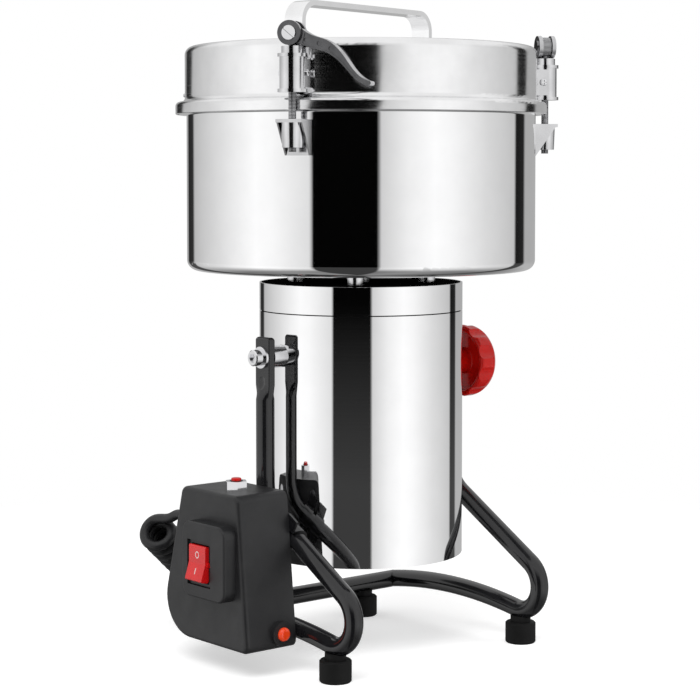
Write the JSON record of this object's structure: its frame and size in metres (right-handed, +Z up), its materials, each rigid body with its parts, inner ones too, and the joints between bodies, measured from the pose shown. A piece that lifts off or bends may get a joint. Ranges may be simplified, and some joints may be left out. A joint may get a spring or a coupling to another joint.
{
  "type": "electric spice grinder",
  "caption": "Swing-type electric spice grinder: round steel grinding bowl with a clamped lid on a cylindrical motor housing that tilts in a bent-tube stand with a side control box.",
  "frame": {"origin": "on the motor axis, on the surface the feet stand on", "axes": "+Z up along the motor axis, front towards -Y, control box on the -X side, tilt axis along X"},
  "size_m": [0.2672, 0.3394, 0.4085],
  "materials": {
    "polished_steel": "mirror polished stainless",
    "machined_steel": "machined",
    "bright_hardware": "bright plated",
    "black_tube": "gloss black enamel",
    "foot_rubber": "matt",
    "box_plastic": "satin black",
    "red_plastic": "gloss",
    "lamp_plastic": "clear tinted",
    "lever_casting": "plated casting",
    "cord_jacket": "satin",
    "lamination": "laminated",
    "copper_wire": "varnished",
    "cast_aluminium": "cast",
    "brush_parts": "plain",
    "carbon": "matt"
  },
  "bodies": {
    "stand": {"left_frame_tube": "black_tube", "right_frame_tube": "black_tube", "rear_cross_tube": "black_tube", "rubber_feet": "foot_rubber", "foot_screws": "bright_hardware", "tube_clips": "black_tube", "control_box_cover": "box_plastic", "control_box_back": "box_plastic", "control_box_screws": "bright_hardware", "switch_body": "box_plastic", "overload_breaker": "box_plastic", "reset_nut": "bright_hardware", "pilot_lamp": "lamp_plastic", "cord_strain_relief": "box_plastic", "curly_cord": "cord_jacket", "cord_tail": "cord_jacket", "mains_plug": "box_plastic", "plug_pins": "bright_hardware"},
    "head": {"housing_sleeve": "polished_steel", "housing_top_ring": "polished_steel", "housing_bottom_cover": "cast_aluminium", "pivot_bosses": "machined_steel", "pivot_bolt": "bright_hardware", "stator_core": "lamination", "field_coils": "copper_wire", "upper_end_frame": "black_tube", "lower_end_frame": "cast_aluminium", "motor_bearings": "machined_steel", "brush_holders": "brush_parts", "carbon_brushes": "carbon", "bowl_standoffs": "machined_steel", "grinding_bowl": "polished_steel", "bowl_screws": "bright_hardware", "shaft_seal": "foot_rubber", "clamp_keepers": "machined_steel", "sleeve_nuts": "machined_steel"},
    "rotor": {"motor_shaft": "machined_steel", "armature_core": "lamination", "armature_winding": "copper_wire", "commutator": "copper_wire", "cooling_fan": "cast_aluminium", "lower_blade": "machined_steel", "blade_spacer": "machined_steel", "upper_blade": "machined_steel", "blade_nut": "machined_steel"},
    "lid_assembly": {"lid": "polished_steel", "lid_gasket": "foot_rubber", "lid_handle": "polished_steel", "clamp_saddles": "machined_steel", "clamp_barrels": "machined_steel", "clamp_rods": "machined_steel", "lever_pins": "bright_hardware", "saddle_screws": "bright_hardware"},
    "knob": {"tilt_knob": "red_plastic", "knob_stud": "bright_hardware"},
    "rocker": {"switch_rocker": "red_plastic"},
    "button": {"reset_button": "red_plastic"},
    "lever_front_left": {"clamp_lever_front_left": "lever_casting"},
    "lever_front_right": {"clamp_lever_front_right": "lever_casting"},
    "lever_rear": {"clamp_lever_rear": "lever_casting"}
  },
  "joints": [
    {"name": "head_tilt", "type": "hinge", "parent": "stand", "child": "head", "pos_m": [0, 0, 0.189], "axis": [1, 0, 0], "range_deg": [0, 100]},
    {"name": "rotor_spin", "type": "hinge", "parent": "head", "child": "rotor", "pos_m": [0, 0, 0.27], "axis": [0, 0, 1], "continuous": true},
    {"name": "lid_lift", "type": "slide", "parent": "head", "child": "lid_assembly", "axis": [0, 0, 1], "range_m": [0, 0.1]},
    {"name": "knob_turn", "type": "hinge", "parent": "stand", "child": "knob", "pos_m": [0.095, 0, 0.1767], "axis": [1, 0, 0], "continuous": true},
    {"name": "rocker_tip", "type": "hinge", "parent": "stand", "child": "rocker", "pos_m": [-0.1286, -0.002, 0.0675], "axis": [0, -1, 0], "range_deg": [0, 18]},
    {"name": "reset_press", "type": "slide", "parent": "stand", "child": "button", "axis": [0, 0, -1], "range_m": [0, 0.0015], "stiffness_N_per_m": 400, "springref_m": -0.001},
    {"name": "lever_front_left", "type": "hinge", "parent": "lid_assembly", "child": "lever_front_left", "pos_m": [-0.10469, -0.06167, 0.3838], "axis": [-0.8616, -0.5075, 0], "range_deg": [0, 110]},
    {"name": "lever_front_right", "type": "hinge", "parent": "lid_assembly", "child": "lever_front_right", "pos_m": [0.10575, -0.05983, 0.3838], "axis": [0.8704, -0.4924, 0], "range_deg": [0, 110]},
    {"name": "lever_rear", "type": "hinge", "parent": "lid_assembly", "child": "lever_rear", "pos_m": [-0.00106, 0.1215, 0.3838], "axis": [-0.0087, 1, 0], "range_deg": [0, 110]}
  ]
}
